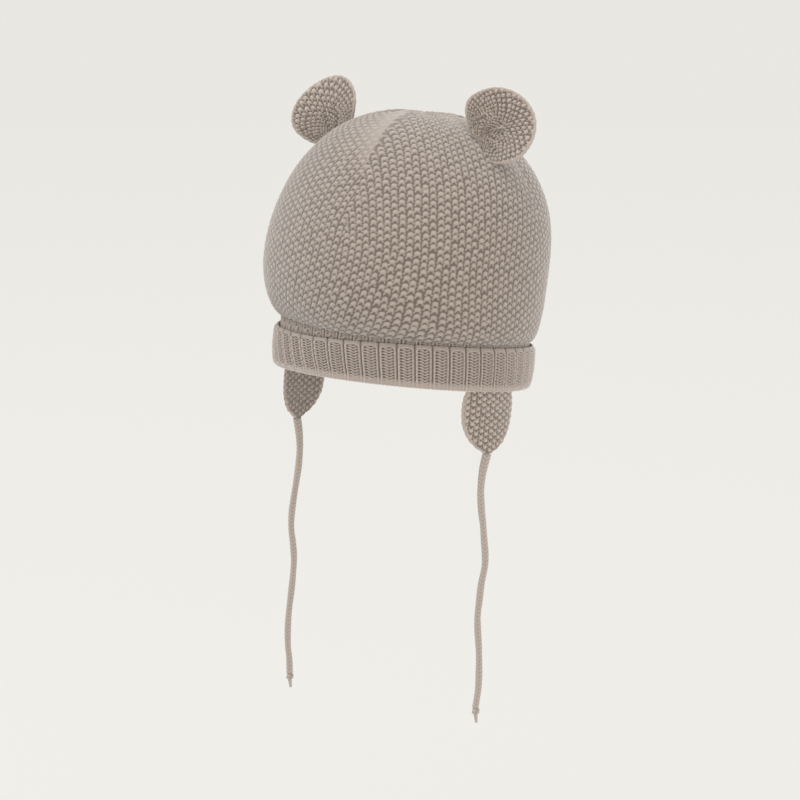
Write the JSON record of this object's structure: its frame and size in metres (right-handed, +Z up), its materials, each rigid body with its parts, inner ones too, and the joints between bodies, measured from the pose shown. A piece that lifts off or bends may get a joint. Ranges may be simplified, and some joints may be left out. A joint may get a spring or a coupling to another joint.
{
  "type": "knitted baby hat with ears, ear flaps and ties",
  "caption": "Soft knitted baby hat: full seed-stitch crown, turned-up ribbed brim, round cupped ears, ear flaps and long knitted ties.",
  "frame": {"origin": "middle of the head opening, level with the fold at the bottom of the brim", "axes": "+Z up out of the crown, -Y towards the wearer's face, +X towards the wearer's left"},
  "size_m": [0.1637, 0.1442, 0.3461],
  "materials": {
    "seed_knit": "taupe cotton yarn in seed stitch",
    "rib_knit": "taupe cotton yarn in broad rib",
    "ear_knit": "taupe cotton yarn in loose seed stitch",
    "flap_knit": "taupe cotton yarn in seed stitch with a chain edge",
    "tie_knit": "taupe cotton yarn in a fine knitted cord"
  },
  "bodies": {
    "root": {"crown": "seed_knit", "brim": "rib_knit", "ear_left": "ear_knit", "ear_right": "ear_knit", "flap_left": "flap_knit", "flap_right": "flap_knit", "tie_left": "tie_knit", "tie_right": "tie_knit", "tie_knot_left": "tie_knit", "tie_knot_right": "tie_knit"}
  },
  "joints": []
}
